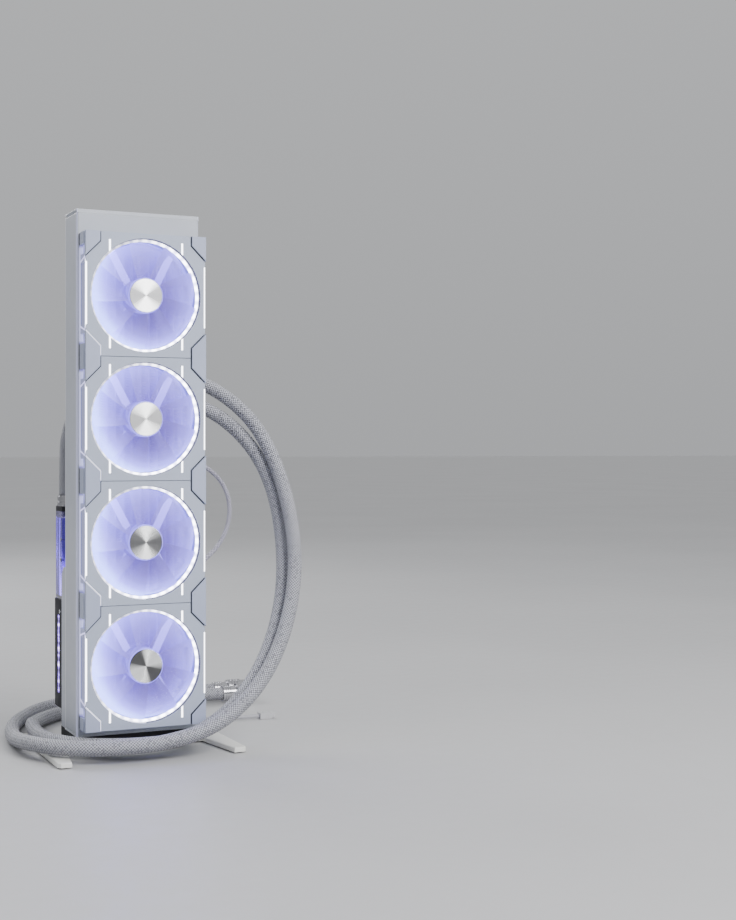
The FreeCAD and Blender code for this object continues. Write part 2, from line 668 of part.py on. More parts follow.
def pump_housing():
    body = box(UNIT_X0, UNIT_X1, UNIT_Y0, UNIT_Y1, PUMP_BOTTOM, PUMP_TOP)
    rear = [edge for edge in body.Edges if all(abs(v.Y - UNIT_Y1) < 0.01 for v in edge.Vertexes)]
    body = body.makeFillet(3.0, rear)
    chamber = rod(CHAMBER_R, (IMPELLER_X, UNIT_Y0 + 10, IMPELLER_Z), (IMPELLER_X, UNIT_Y1, IMPELLER_Z))
    seat = rod(CHAMBER_R + 3, (IMPELLER_X, UNIT_Y1 - 6, IMPELLER_Z), (IMPELLER_X, UNIT_Y1, IMPELLER_Z))
    axle = rod(2.05, (IMPELLER_X, UNIT_Y0 + 3, IMPELLER_Z), (IMPELLER_X, UNIT_Y0 + 10, IMPELLER_Z))
    inlet = passage(IMPELLER_X, UNIT_Y0 + 22, IMPELLER_Z + 18, PUMP_TOP)
    riser = passage(HOSE_PORTS[1], UNIT_Y, PUMP_TOP - 12, PUMP_TOP)
    front = rod(LINK_R, (LINK_STRAIGHT_X, UNIT_Y0, LINK_Z), (LINK_STRAIGHT_X, UNIT_Y0 + 4, LINK_Z))
    side = rod(LINK_R, (UNIT_X1 - 4, UNIT_Y, LINK_Z), (UNIT_X1, UNIT_Y, LINK_Z))
    cable = rod(THIN_CABLE / 2, (UNIT_X1 - 4, UNIT_Y, CABLE_OUT_Z), (UNIT_X1, UNIT_Y, CABLE_OUT_Z))
    body = cut(body, [chamber, seat, axle, inlet, riser, front, side, cable, pump_light()])
    return cut(body, unit_screws_space())


def pump_light():
    """A clear strip let into the housing's left side."""
    return box(UNIT_X0, UNIT_X0 + 1.5, UNIT_Y0 + 12, UNIT_Y0 + 18, 58, 150)


def pump_cover():
    """The round cover of the pump's chamber, with a raised ring."""
    start = (IMPELLER_X, UNIT_Y1 - 6, IMPELLER_Z)
    end = (IMPELLER_X, UNIT_Y1, IMPELLER_Z)
    disc = rod(CHAMBER_R + 3, start, end)
    groove = tube(17, 19, (IMPELLER_X, UNIT_Y1 - 1.5, IMPELLER_Z), end)
    dimple = rod(6, (IMPELLER_X, UNIT_Y1 - 2, IMPELLER_Z), end)
    return cut(disc, [groove, dimple])


def pump_impeller():
    y0 = UNIT_Y0 + 12
    plate = rod(IMPELLER_R, (IMPELLER_X, y0, IMPELLER_Z), (IMPELLER_X, y0 + 3, IMPELLER_Z))
    hub = rod(5, (IMPELLER_X, y0, IMPELLER_Z), (IMPELLER_X, y0 + 13, IMPELLER_Z))
    axle = rod(2.0, (IMPELLER_X, UNIT_Y0 + 3.5, IMPELLER_Z), (IMPELLER_X, y0, IMPELLER_Z))
    vanes = []
    for i in range(6):
        vane = box(4, IMPELLER_R - 1, y0 + 2.5, y0 + 11, -1, 1)
        vane.rotate(Vector(0, 0, 0), Vector(0, 1, 0), 60 * i)
        vanes.append(moved(vane, x=IMPELLER_X, z=IMPELLER_Z))
    return fuse([plate, hub, axle] + vanes)


def reservoir_body():
    x0, x1, y0, y1 = UNIT_X0 + 1, UNIT_X1 - 1, UNIT_Y0 + 1, UNIT_Y1 - 1
    outer = box(x0, x1, y0, y1, PUMP_TOP, RESERVOIR_TOP)
    outer = outer.makeFillet(3.0, upright_edges(outer))
    inner = coolant_block(PUMP_TOP + 4, RESERVOIR_TOP)
    inlet = passage(IMPELLER_X, UNIT_Y0 + 22, PUMP_TOP, PUMP_TOP + 4)
    riser = passage(HOSE_PORTS[1], UNIT_Y, PUMP_TOP, PUMP_TOP + 4)
    return cut(outer.cut(inner), [inlet, riser] + unit_screws_space())


def coolant_block(z0, z1):
    wall = RESERVOIR_WALL + 1
    block = box(UNIT_X0 + wall, UNIT_X1 - wall, UNIT_Y0 + wall, UNIT_Y1 - wall, z0, z1)
    return block.makeFillet(2.5, upright_edges(block))


def coolant():
    block = coolant_block(PUMP_TOP + 4, COOLANT_TOP)
    return block.cut(passage(HOSE_PORTS[1], UNIT_Y, PUMP_TOP, COOLANT_TOP))


def riser_tube():
    """Carries the cooled liquid up through the reservoir to the supply fitting."""
    x = HOSE_PORTS[1]
    return tube(BORE_R, PASSAGE_R, (x, UNIT_Y, PUMP_TOP - 12), (x, UNIT_Y, RESERVOIR_TOP))


def lid_screw_places():
    inset = LID_SCREW_IN
    return [(x, y) for x in (UNIT_X0 + inset, UNIT_X1 - inset)
            for y in (UNIT_Y0 + inset, UNIT_Y1 - inset)]


def unit_screws():
    screws = [machine_screw(x, y, LID_TOP, (0, 0, -1), 2.6, 1.6, 1.3, 12.0) for x, y in lid_screw_places()]
    for z in SIDE_SCREWS:
        face = UNIT_X0 if z < PUMP_TOP else UNIT_X0 + 1
        screws.append(machine_screw(face, UNIT_Y0 + 5, z, (1, 0, 0), 2.4, 1.4, 1.2, 3.0))
    return group(screws)


def unit_screws_space():
    shanks = [rod(1.3, (x, y, LID_TOP), (x, y, LID_TOP - 12)) for x, y in lid_screw_places()]
    for z in SIDE_SCREWS:
        face = UNIT_X0 if z < PUMP_TOP else UNIT_X0 + 1
        shanks.append(rod(1.2, (face, UNIT_Y0 + 5, z), (face + 3, UNIT_Y0 + 5, z)))
    return shanks


def reservoir_lid():
    plate = box(UNIT_X0 + 1, UNIT_X1 - 1, UNIT_Y0 + 1, UNIT_Y1 - 1, RESERVOIR_TOP, LID_TOP)
    plate = plate.makeFillet(3.0, upright_edges(plate))
    threads = [rod(THREAD_R, (x, UNIT_Y, RESERVOIR_TOP), (x, UNIT_Y, LID_TOP)) for x in HOSE_PORTS]
    return cut(plate, threads + unit_screws_space())


def hose_fitting(x):
    """A straight fitting with two grip rings and a threaded end."""
    z = LID_TOP
    thread = rod(THREAD_R, (x, UNIT_Y, RESERVOIR_TOP), (x, UNIT_Y, z))
    body = rod(FITTING_R - 1, (x, UNIT_Y, z), (x, UNIT_Y, z + FITTING_H))
    rings = [rod(FITTING_R, (x, UNIT_Y, z + a), (x, UNIT_Y, z + b)) for a, b in ((1, 5), (6.2, 11.6))]
    bore = rod(BORE_R, (x, UNIT_Y, RESERVOIR_TOP), (x, UNIT_Y, z + FITTING_H))
    return fuse([thread, body] + rings).cut(bore)


def link_tubes():
    """Two short metal tubes between the pump housing and the radiator's bottom tank."""
    end = TANK_HALF_Y - TANK_WALL
    straight = tube(BORE_R, LINK_R, (LINK_STRAIGHT_X, end, LINK_Z), (LINK_STRAIGHT_X, UNIT_Y0 + 4, LINK_Z))
    bend = 15.0
    a = Vector(UNIT_X1 - 4, UNIT_Y, LINK_Z)
    b = Vector(LINK_BENT_X - bend, UNIT_Y, LINK_Z)
    c = Vector(LINK_BENT_X, UNIT_Y - bend, LINK_Z)
    d = Vector(LINK_BENT_X, end, LINK_Z)
    centre = Vector(b.x, c.y, LINK_Z)
    middle = centre + Vector(1, 1, 0).normalize() * bend
    path = Part.Wire([Part.LineSegment(a, b).toShape(), Part.Arc(b, middle, c).toShape(),
                      Part.LineSegment(c, d).toShape()])
    skin = path.makePipeShell([Part.Wire(Part.makeCircle(LINK_R, a, b - a))], True, False)
    bore = path.makePipeShell([Part.Wire(Part.makeCircle(BORE_R, a, b - a))], True, False)
    return group([straight, skin.cut(bore)])


def link_nuts():
    """The grip rings at the link tubes' ends."""
    tank = TANK_HALF_Y
    nuts = [tube(LINK_R, 10.0, (x, tank, LINK_Z), (x, tank + 9, LINK_Z))
            for x in (LINK_STRAIGHT_X, LINK_BENT_X)]
    nuts.append(tube(LINK_R, 9.0, (UNIT_X1, UNIT_Y, LINK_Z), (UNIT_X1 + 10, UNIT_Y, LINK_Z)))
    return group(nuts)


# ---- couplings and cable ends ----
def coupling(y):
    """A quick coupling on a hose's end: nut, body and lip, open to the right."""
    def at(s):
        return (COUPLING_X + s, y, COUPLING_Z)
    nut = rod(NUT_R, at(0), at(NUT_LEN))
    grooves = [tube(NUT_R - 0.8, NUT_R, at(s), at(s + 1.2)) for s in (3.0, 6.0, 9.0)]
    body = rod(BODY_R, at(NUT_LEN), at(LIP[1]))
    lip = rod(LIP_R, at(LIP[0]), at(LIP[1]))
    socket = rod(SOCKET_R, at(LIP[1] - SOCKET_DEEP), at(LIP[1]))
    bore = rod(BORE_R, at(0), at(LIP[1]))
    return cut(fuse([nut, body, lip]), grooves + [socket, bore])


def coupling_collar(y):
    """The sliding sleeve that lets the coupling go."""
    def at(s):
        return (COUPLING_X + s, y, COUPLING_Z)
    sleeve = tube(COLLAR_IN_R, COLLAR_OUT_R, at(COLLAR[0]), at(COLLAR[1]))
    grooves = [tube(COLLAR_OUT_R - 0.7, COLLAR_OUT_R, at(s), at(s + 1.4)) for s in (24.0, 28.0, 32.0)]
    return cut(sleeve, grooves)


def cable_glands():
    """Strain reliefs of the light cable on the casing, and of the control cable on the pump."""
    glands = []
    for z in GLAND_Z:
        base = rod(5.6, (GLAND_X, CASE_BACK, z), (GLAND_X, CASE_BACK + 3, z))
        cone = Part.makeCone(4.6, 3.6, 7.0, Vector(GLAND_X, CASE_BACK + 3, z), Vector(0, 1, 0))
        glands.append(base.fuse(cone))
    base = rod(4.8, (UNIT_X1, UNIT_Y, CABLE_OUT_Z), (UNIT_X1 + 3, UNIT_Y, CABLE_OUT_Z))
    cone = Part.makeCone(4.0, 3.0, 7.0, Vector(UNIT_X1 + 3, UNIT_Y, CABLE_OUT_Z), Vector(1, 0, 0))
    glands.append(base.fuse(cone))
    return group(glands)


def control_plug():
    """A small flat plug with a latch, at the end of the control cable."""
    x, y, z = CONTROL_ROUTE[-1]
    shell = box(x, x + 16, y - 6, y + 6, 0.2, 7.8)
    neck = box(x + 16, x + 20, y - 5, y + 5, 1.2, 6.8)
    latch = box(x + 5, x + 15, y - 1.5, y + 1.5, 7.8, 8.8)
    holes = [box(x + 14, x + 20, y + dy - 0.9, y + dy + 0.9, 3, 5) for dy in (-3.6, -1.2, 1.2, 3.6)]
    return cut(fuse([shell, neck, latch]), holes)


def build():
    os.makedirs("parts", exist_ok=True)
    save("casing", casing())
    save("top_cap", top_cap())
    save("bottom_cap", bottom_cap())
    save("core_tubes", core_tubes())
    save("fin_packs", fin_packs())
    save("header_plates", header_plates())
    save("end_tanks", end_tanks())
    save("bleed_plug", bleed_plug())

    per_fan = {"frame": fan_frame(), "rotor": fan_rotor(), "hub_cap": hub_cap(),
               "light_ring": light_ring(), "light_bars": group(light_bars())}
    for number, z in enumerate(FAN_CENTRES, start=1):
        for part, shape in per_fan.items():
            save(f"fan_{number}_{part}", moved(shape, z=z))
    save("fan_bearings", group([moved(bearing(), z=z) for z in FAN_CENTRES]))
    save("fan_stators", group([moved(stator(), z=z) for z in FAN_CENTRES]))
    save("fan_screws", group([moved(fan_screw(), x=x, z=z) for x, z in screw_corners(FAN_CENTRES)]))
    save("corner_covers", corner_covers())

    save("base_plate", base_plate())
    save("right_foot", foot())
    save("left_foot", mirrored(foot()))
    save("foot_pads", foot_pads())
    save("frame_screws", frame_screws())

    save("rear_bracket", rear_bracket())
    save("pump_housing", pump_housing())
    save("pump_light", pump_light())
    save("pump_cover", pump_cover())
    save("pump_impeller", pump_impeller())
    save("reservoir_body", reservoir_body())
    save("reservoir_lid", reservoir_lid())
    save("coolant", coolant())
    save("riser_tube", riser_tube())
    save("unit_screws", unit_screws())
    save("hose_fittings", group([hose_fitting(x) for x in HOSE_PORTS]))
    save("link_tubes", link_tubes())
    save("link_nuts", link_nuts())

    save("return_hose", cord(RETURN_ROUTE, HOSE, "return_hose"))
    save("supply_hose", cord(SUPPLY_ROUTE, HOSE, "supply_hose"))
    save("return_coupling", coupling(RETURN_Y))
    save("supply_coupling", coupling(SUPPLY_Y))
    save("return_collar", coupling_collar(RETURN_Y))
    save("supply_collar", coupling_collar(SUPPLY_Y))
    save("light_cable", cord(LIGHT_ROUTE, CABLE, "light_cable"))
    save("control_cable", cord(CONTROL_ROUTE, THIN_CABLE, "control_cable"))
    save("cable_glands", cable_glands())
    save("control_plug", control_plug())


build()
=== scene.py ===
import json
import math

import bpy
import numpy as np
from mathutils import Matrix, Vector


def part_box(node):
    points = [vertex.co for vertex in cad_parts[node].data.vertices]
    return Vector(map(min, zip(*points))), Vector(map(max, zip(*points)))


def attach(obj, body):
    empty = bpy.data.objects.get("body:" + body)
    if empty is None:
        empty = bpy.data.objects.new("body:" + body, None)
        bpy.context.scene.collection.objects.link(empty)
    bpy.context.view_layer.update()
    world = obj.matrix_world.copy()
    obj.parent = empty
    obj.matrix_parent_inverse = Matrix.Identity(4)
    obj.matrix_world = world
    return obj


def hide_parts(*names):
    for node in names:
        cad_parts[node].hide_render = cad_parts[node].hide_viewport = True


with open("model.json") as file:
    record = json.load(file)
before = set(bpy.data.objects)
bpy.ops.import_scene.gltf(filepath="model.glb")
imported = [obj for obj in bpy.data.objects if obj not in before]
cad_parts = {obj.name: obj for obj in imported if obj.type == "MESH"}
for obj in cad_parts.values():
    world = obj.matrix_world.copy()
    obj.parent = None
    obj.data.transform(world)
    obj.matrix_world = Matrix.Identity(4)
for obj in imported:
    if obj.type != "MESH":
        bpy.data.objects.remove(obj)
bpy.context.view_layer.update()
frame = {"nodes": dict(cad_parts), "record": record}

MM = 0.001
FANS = (1, 2, 3, 4)
BLADES = 9
HUB_R = 20.5             # a rotor's radii are in millimetres, like its mesh before it is placed
BLADE_ROOT_R = 17.0
BLADE_TIP_R = 60.4
RECESS_R = 64.2          # the funnel in front of the lit ring, at the fan's face
RING_LIGHTS = 36
FAN = 140 * MM
FAN_BOTTOM = 31 * MM     # z of the lowest fan's lower edge
FAN_FACE = -60 * MM      # y of the fans' front faces
FAN_BACK = -30 * MM
STRUT_FRONT = -33 * MM
FAN_SIDE = 66.4 * MM     # a fan's side walls lie beyond this, left and right
FACE_EDGE = 69.2 * MM    # a groove in a fan's face lies nearer than this to the fan's middle
WEB_FACE = 67.4 * MM     # a corner cover's thin web lies nearer than this, behind its face plate
SIDE_LIGHT = 68.3 * MM   # the light guides in a fan's sides lie beyond this
CASE_SIDE = 71 * MM      # the casing's sides lie beyond this, left and right
CASE_BACK = 26 * MM
HOSE = 17 * MM
LIGHT_CABLE = 5.6 * MM
THIN_CABLE = 4.6 * MM
GLOW = 6.1               # strength of the ring's light where it is painted as a glow on what it falls on
# a near black for painted shade in grooves and hollows, and for the hose braid's gaps
DARK = (0.07, 0.07, 0.09)

# The routes of part.py, in millimetres; route() turns them into metres.
RETURN_ROUTE = [
    (-60, 68, 292), (-60, 68, 329), (-59, 66, 366), (-45, 65, 401), (-18, 62, 428), (18, 59, 441.5),
    (62, 55, 441), (106, 50, 428), (143, 41, 404.5), (170, 28, 372), (188, 12, 326), (197.5, -7, 272),
    (198, -25, 208), (183, -41, 148), (155, -58, 95), (114, -78, 55), (64, -92, 29), (10, -96, 19.5),
    (-31, -96, 18.5), (-71, -86, 18), (-103, -60, 17.5), (-121.5, -23, 17), (-126, 20, 13),
    (-123, 64, 9), (-117, 108, 8.6), (-104, 152, 8.6), (-83, 195, 9), (-52, 236, 11),
    (-5, 263, 12), (52, 274, 11), (104, 274, 11), (152, 272, 12.6), (196, 272, 12.6),
]
SUPPLY_ROUTE = [
    (-29, 68, 292), (-29, 68, 331), (-15, 66, 366), (11, 63, 391), (47, 60, 405), (86, 57, 406),
    (120.5, 51, 392), (151, 43, 367), (174.5, 32, 333), (188.5, 19, 288), (192, 4, 236), (187, -11, 184),
    (173, -25, 136), (146, -42, 88), (108, -60, 50), (66, -72, 26), (30, -77, 16.5), (-5, -77.5, 15.7),
    (-41, -70, 15.7), (-73, -49, 15.7), (-94, -17, 15.9), (-102, 20, 16), (-100, 60, 16),
    (-94, 99, 16.5), (-84, 135, 10.5), (-67, 170, 8.6), (-39, 200, 8.6), (0, 222, 8.6),
    (46, 233, 8.6), (96, 236, 8.8), (146, 236, 12.6), (196, 236, 12.6),
]
LIGHT_ROUTE = [
    (65, 36, 339), (65, 61, 339), (86, 87, 339), (120, 96, 329), (147.5, 90, 304), (156, 88, 268),
    (145, 90, 230), (117, 95, 202), (85, 86, 184), (65, 61, 176), (65, 36, 176),
]
CONTROL_ROUTE = [
    (2, 68, 112), (22, 68, 112), (42, 75, 98), (53, 87, 72), (58, 101, 42), (69, 115, 15),
    (92, 123, 4), (120, 121, 2.5), (148, 110, 2.6), (174, 100, 4), (198, 100, 4),
]


# ---------------------------------------------------------------- materials: helpers
class Shader:
    """A material's node tree, with short calls for the nodes that the finishes use."""

    def __init__(self, name):
        self.material = bpy.data.materials.new(name)
        self.material.use_nodes = True
        self.tree = self.material.node_tree
        self.bsdf = self.tree.nodes["Principled BSDF"]
        self.space = self.add("ShaderNodeTexCoord").outputs["Object"]

    def add(self, kind, **settings):
        node = self.tree.nodes.new(kind)
        for key, value in settings.items():
            setattr(node, key, value)
        return node

    def join(self, source, target):
        self.tree.links.new(source, target)

    def feed(self, socket, value):
        if isinstance(value, bpy.types.NodeSocket):
            self.join(value, socket)
        else:
            socket.default_value = value

    def set(self, **values):
        """Values on the Principled shader, by its socket names with underscores."""
        for key, value in values.items():
            self.feed(self.bsdf.inputs[key.replace("_", " ")], value)

    def math(self, operation, *values):
        node = self.add("ShaderNodeMath", operation=operation)
        for socket, value in zip(node.inputs, values):
            self.feed(socket, value)
        return node.outputs[0]

    def times(self, first, *others):
        """The product of two or more values."""
        product = first
        for value in others:
            product = self.math("MULTIPLY", product, value)
        return product

    def length(self, a, b):
        return self.math("SQRT", self.math("MULTIPLY_ADD", a, a, self.times(b, b)))

    def span(self, value, low, high, to_low=0.0, to_high=1.0):
        node = self.add("ShaderNodeMapRange", clamp=True)
        for socket, number in zip(node.inputs, (value, low, high, to_low, to_high)):
            self.feed(socket, number)
        return node.outputs[0]

    def noise(self, scale, detail=3.0, stretch=None):
        node = self.add("ShaderNodeTexNoise")
        node.inputs["Scale"].default_value = scale
        node.inputs["Detail"].default_value = detail
        space = self.space
        if stretch:
            mapping = self.add("ShaderNodeMapping")
            mapping.inputs["Scale"].default_value = stretch
            self.join(space, mapping.inputs["Vector"])
            space = mapping.outputs[0]
        self.join(space, node.inputs["Vector"])
        return node.outputs[0]

    def mottled(self, scale, low, high, detail=3.0):
        """A number that drifts between low and high over the surface."""
        return self.span(self.noise(scale, detail), 0.3, 0.7, low, high)

    def ramp(self, value, stops):
        node = self.add("ShaderNodeValToRGB")
        self.feed(node.inputs[0], value)
        elements = node.color_ramp.elements
        while len(elements) < len(stops):
            elements.new(0.5)
        for element, (place, colour) in zip(elements, stops):
            element.position = place
            element.color = (*colour, 1.0)
        return node.outputs[0]

    def mix(self, share, a, b):
        """A colour between two; the Mix node keeps its colour sockets behind those for numbers."""
        node = self.add("ShaderNodeMix", data_type="RGBA")
        self.feed(node.inputs[0], share)
        for socket, value in ((node.inputs[6], a), (node.inputs[7], b)):
            self.feed(socket, value if isinstance(value, bpy.types.NodeSocket) else (*value, 1.0))
        return node.outputs[2]

    def axes(self, source):
        node = self.add("ShaderNodeSeparateXYZ")
        self.join(source, node.inputs[0])
        return node.outputs

    def rounded(self, radius):
        """A normal that is rounded over edges, and how much of an edge there is."""
        soft = self.add("ShaderNodeBevel", samples=4)
        soft.inputs["Radius"].default_value = radius
        flat = self.add("ShaderNodeNewGeometry").outputs["Normal"]
        dot = self.add("ShaderNodeVectorMath", operation="DOT_PRODUCT")
        self.join(soft.outputs[0], dot.inputs[0])
        self.join(flat, dot.inputs[1])
        edge = self.span(dot.outputs["Value"], 0.995, 0.80)
        return soft.outputs[0], edge

    def bump(self, height, strength, distance, normal=None):
        node = self.add("ShaderNodeBump")
        node.inputs["Strength"].default_value = strength
        node.inputs["Distance"].default_value = distance
        self.join(height, node.inputs["Height"])
        if normal:
            self.join(normal, node.inputs["Normal"])
        self.set(Normal=node.outputs[0])


def tinted(colour, factor):
    return tuple(min(1.0, c * factor) for c in colour)


def paint_colour(s, colour, rim, edge_wear_and_highlight, darkest=0.97):
    """A paint's colour: its tone drifts a little, and it is paler on its edges, where it is worn and
    carries a painted highlight.
    """
    base = s.mix(s.span(s.noise(9, 2), 0.35, 0.65), tinted(colour, darkest), tinted(colour, 1.03))
    return s.mix(s.times(rim, 0.7), base, tinted(colour, edge_wear_and_highlight))


def coated(name, colour, grain=700, rough=(0.38, 0.5), depth=0.00006, edge_wear_and_highlight=1.12, edge=0.0007,
           gloss=0.5):
    """Painted or moulded: a fine grain, a slow drift in tone, and lighter edges, worn and with a painted
    highlight.
    """
    s = Shader(name)
    normal, rim = s.rounded(edge)
    s.set(Base_Color=paint_colour(s, colour, rim, edge_wear_and_highlight, 0.96), Roughness=s.mottled(60, *rough),
          Specular_IOR_Level=gloss)
    s.bump(s.noise(grain, 2), 0.35, depth, normal)
    return s.material


def turned(name, colour, rough, stretch):
    """Metal with fine marks that run round or along it."""
    s = Shader(name)
    normal, _ = s.rounded(0.0004)
    marks = s.noise(1400, 3, stretch)
    wear = s.math("ADD", s.times(s.noise(45, 3), 0.6), s.times(marks, 0.4))
    s.set(Base_Color=s.mix(s.span(marks, 0.3, 0.7), tinted(colour, 0.9), tinted(colour, 1.06)),
          Metallic=1.0, Roughness=s.span(wear, 0.3, 0.7, rough * 0.7, rough * 1.4))
    s.bump(marks, 0.2, 0.00002, normal)
    return s.material


# ---------------------------------------------------------------- materials: the finishes
def fan_place(s):
    """World position round the axis of the nearest fan: x and z in blade lengths, and the distance."""
    x, _, z = s.axes(s.add("ShaderNodeNewGeometry").outputs["Position"])
    above_edge = s.math("FLOORED_MODULO", s.math("SUBTRACT", z, FAN_BOTTOM), FAN)
    u = s.math("DIVIDE", x, BLADE_TIP_R * MM)
    v = s.math("DIVIDE", s.math("SUBTRACT", above_edge, FAN / 2), BLADE_TIP_R * MM)
    return u, v, s.length(u, v)


def ring_glow(s, u, v, radius):
    """How the ring's light, painted as a glow, spreads over a fan: paler to the rim, left and below, and
    darkened by painted shade to violet under the hub.
    """
    # painted shade: the glow dims round a spot a little right of and below the hub
    from_shaded_spot = s.length(s.math("SUBTRACT", u, 0.10), s.math("ADD", v, 0.40))
    dark = s.math("EXPONENT", s.times(from_shaded_spot, from_shaded_spot, -2.0))
    level = s.math("MULTIPLY_ADD", u, -0.14, 0.58)
    level = s.math("MULTIPLY_ADD", v, -0.24, level)
    level = s.math("MULTIPLY_ADD", s.times(radius, radius), 0.39, level)
    level = s.math("MULTIPLY_ADD", dark, -0.55, level)
    hub_edge = s.span(radius, 0.345, 0.335)
    level = s.math("MAXIMUM", level, s.times(hub_edge, 0.72))
    return s.ramp(level, [(0.05, (0.020, 0.014, 0.066)), (0.35, (0.038, 0.026, 0.150)),
                          (0.60, (0.068, 0.056, 0.270)), (0.80, (0.125, 0.112, 0.540)),
                          (1.00, (0.240, 0.310, 1.000))])


def blade_material():
    """Frosted plastic with the ring's light painted on it as a glow, which lets the struts behind show
    through.
    """
    s = Shader("blade_frosted")
    s.set(Base_Color=s.mix(s.span(s.noise(260, 2), 0.3, 0.7), (0.12, 0.11, 0.20), (0.16, 0.15, 0.26)),
          Roughness=s.mottled(80, 0.32, 0.46, 2),
          Emission_Color=ring_glow(s, *fan_place(s)), Emission_Strength=GLOW, Alpha=0.58)
    s.bump(s.noise(900, 2), 0.15, 0.00004)
    return s.material


def core_material():
    """The radiator core's metal, with the fans' light painted on its front part as a glow."""
    s = Shader("core_aluminium")
    normal, _ = s.rounded(0.0003)
    marks = s.noise(1400, 3, (1, 1, 0.1))
    u, v, radius = fan_place(s)
    _, y, _ = s.axes(s.space)
    # painted glow: the fans' light on the front of the core
    lit = s.times(s.span(radius, 1.03, 1.0), s.span(y, FAN_BACK + 24 * MM, FAN_BACK + 20 * MM))
    s.set(Base_Color=s.mix(s.span(marks, 0.3, 0.7), (0.32, 0.33, 0.35), (0.39, 0.40, 0.42)), Metallic=1.0,
          Roughness=s.mottled(45, 0.32, 0.56),
          Emission_Color=ring_glow(s, u, v, radius), Emission_Strength=s.times(lit, GLOW))
    s.bump(marks, 0.2, 0.00002, normal)
    return s.material


def ring_material():
    """The lit ring, with a brighter pool at each of its lights, and its light painted dimmer towards the
    left and the top.
    """
    s = Shader("light_ring")
    u, v, _ = fan_place(s)
    pools = s.math("COSINE", s.times(s.math("ARCTAN2", v, u), RING_LIGHTS))
    # painted shade: the ring's light is dimmer to the left and the top
    to_right = s.math("MULTIPLY_ADD", v, -0.35, u)
    strength = s.times(s.span(to_right, -0.7, 0.5, 1.6, 12.0), s.span(pools, -0.9, 0.3, 0.5, 1.0))
    s.set(Base_Color=(0.5, 0.5, 0.58, 1), Roughness=0.35, Emission_Strength=strength,
          Emission_Color=s.mix(s.span(pools, -0.9, 0.6), (0.74, 0.74, 1.0), (0.95, 0.96, 1.0)))
    s.bump(s.noise(500, 2), 0.1, 0.00005)
    return s.material


def face_hollows(s, u, v, radius, y):
    """A fan's face: its grooves, for painted shade, those of them with a painted highlight that glows, and
    the wall of its round opening, for painted shade.
    """
    below_face = s.times(s.span(y, FAN_FACE + 0.2 * MM, FAN_FACE + 0.6 * MM),
                         s.span(y, FAN_FACE + 9 * MM, FAN_FACE + 7 * MM))
    outward = s.math("MAXIMUM", s.math("ABSOLUTE", u), s.math("ABSOLUTE", v))
    edge = FACE_EDGE / (BLADE_TIP_R * MM)
    # painted shade in the grooves, and a painted highlight glowing in those to the lower left
    groove = s.times(below_face, s.span(outward, edge + 0.003, edge))
    lit_groove = s.times(groove, s.math("LESS_THAN", u, 0.0), s.math("LESS_THAN", v, 0.0))
    recess = RECESS_R / BLADE_TIP_R
    # painted shade on the wall of the round opening
    wall = s.times(s.span(radius, recess + 0.004, recess), s.span(radius, 1.045, 1.05), below_face)
    return groove, lit_groove, wall


def side_hollows(s, x, y, v):
    """A fan's sides: the rim by the case between two fans, for painted shade, and the rim elsewhere and the
    slots, for a painted violet glow.
    """
    side = s.math("GREATER_THAN", s.math("ABSOLUTE", x), FAN_SIDE)
    from_middle = s.math("ABSOLUTE", v)
    # painted shade on the rim between two fans, and a painted violet glow on the rim elsewhere and in the
    # slots
    rim = s.times(side, s.span(y, FAN_BACK - 7 * MM, FAN_BACK - 6 * MM))
    between_fans = s.span(from_middle, 0.86, 0.94)
    slot = s.times(side, s.span(y, FAN_FACE + 2.5 * MM, FAN_FACE + 4 * MM),
                   s.span(y, FAN_BACK - 4.5 * MM, FAN_BACK - 6 * MM),
                   s.span(from_middle, 0.72, 0.92, 0.25, 1.0))
    return s.times(rim, between_fans), s.times(rim, s.math("SUBTRACT", 1.0, between_fans)), slot


def frame_material():
    """White plastic with painted shade in its grooves, on the wall of its opening and on a rim by the case,
    a painted highlight in some grooves, and a painted violet glow at struts and side slots.
    """
    s = Shader("fan_white")
    normal, edges = s.rounded(0.0004)
    u, v, radius = fan_place(s)
    x, y, _ = s.axes(s.space)
    groove, lit_groove, wall = face_hollows(s, u, v, radius, y)
    painted_shade_rim, lit_rim, slot = side_hollows(s, x, y, v)
    # painted glow of the ring's light on the struts, brighter up and to the right
    struts = s.times(s.math("COMPARE", radius, 0.68, 0.33),
                     s.span(y, STRUT_FRONT - 1.5 * MM, STRUT_FRONT - 0.5 * MM),
                     s.span(s.math("MULTIPLY_ADD", u, 0.5, v), -0.5, 0.3, 4.0, 10.0))
    # painted shade in grooves, on the opening's wall and on the rim between fans
    dark = s.math("MAXIMUM", s.math("MAXIMUM", groove, wall), painted_shade_rim)
    violet = s.mix(slot, (0.27, 0.23, 1.0), (0.40, 0.37, 1.0))
    violet = s.mix(lit_rim, violet, (0.62, 0.62, 1.0))
    strength = s.math("MULTIPLY_ADD", lit_groove, 2.5, struts)
    strength = s.math("MULTIPLY_ADD", lit_rim, 0.75, strength)
    strength = s.math("MULTIPLY_ADD", slot, 0.8, strength)
    s.set(Base_Color=s.mix(s.times(dark, 0.9), paint_colour(s, (0.50, 0.555, 0.69), edges, 1.2), DARK),
          Roughness=s.math("MAXIMUM", s.mottled(60, 0.36, 0.48), wall), Specular_IOR_Level=0.3,
          Emission_Color=s.mix(lit_groove, violet, (0.85, 0.85, 1.0)), Emission_Strength=strength)
    s.bump(s.noise(1200, 2), 0.35, 0.00003, normal)
    return s.material


